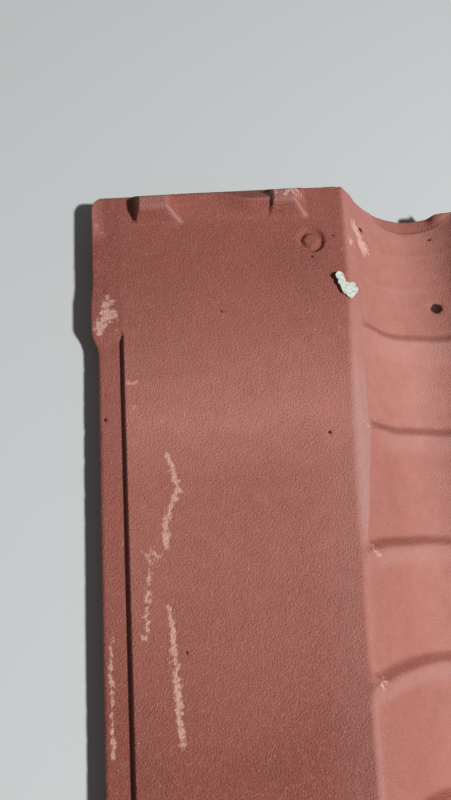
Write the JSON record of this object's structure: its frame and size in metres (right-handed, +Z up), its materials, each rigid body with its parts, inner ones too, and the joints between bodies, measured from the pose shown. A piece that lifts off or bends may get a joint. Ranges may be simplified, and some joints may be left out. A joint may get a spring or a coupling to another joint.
{
  "type": "interlocking clay roof tile",
  "caption": "Interlocking clay roof tile with a wide flat pan, one ribbed hollow roll, head lugs and a side gutter, lying with its underside up.",
  "frame": {"origin": "on the level floor the tile lies on, at the middle of its length and width", "axes": "+X across the tile from the gutter edge to the covering edge of the roll, +Y along it from the nose to the head, +Z up, with the underside facing up"},
  "size_m": [0.2976, 0.46, 0.0793],
  "materials": {
    "clay": "matte"
  },
  "bodies": {
    "root": {"roof_tile": "clay"}
  },
  "joints": []
}
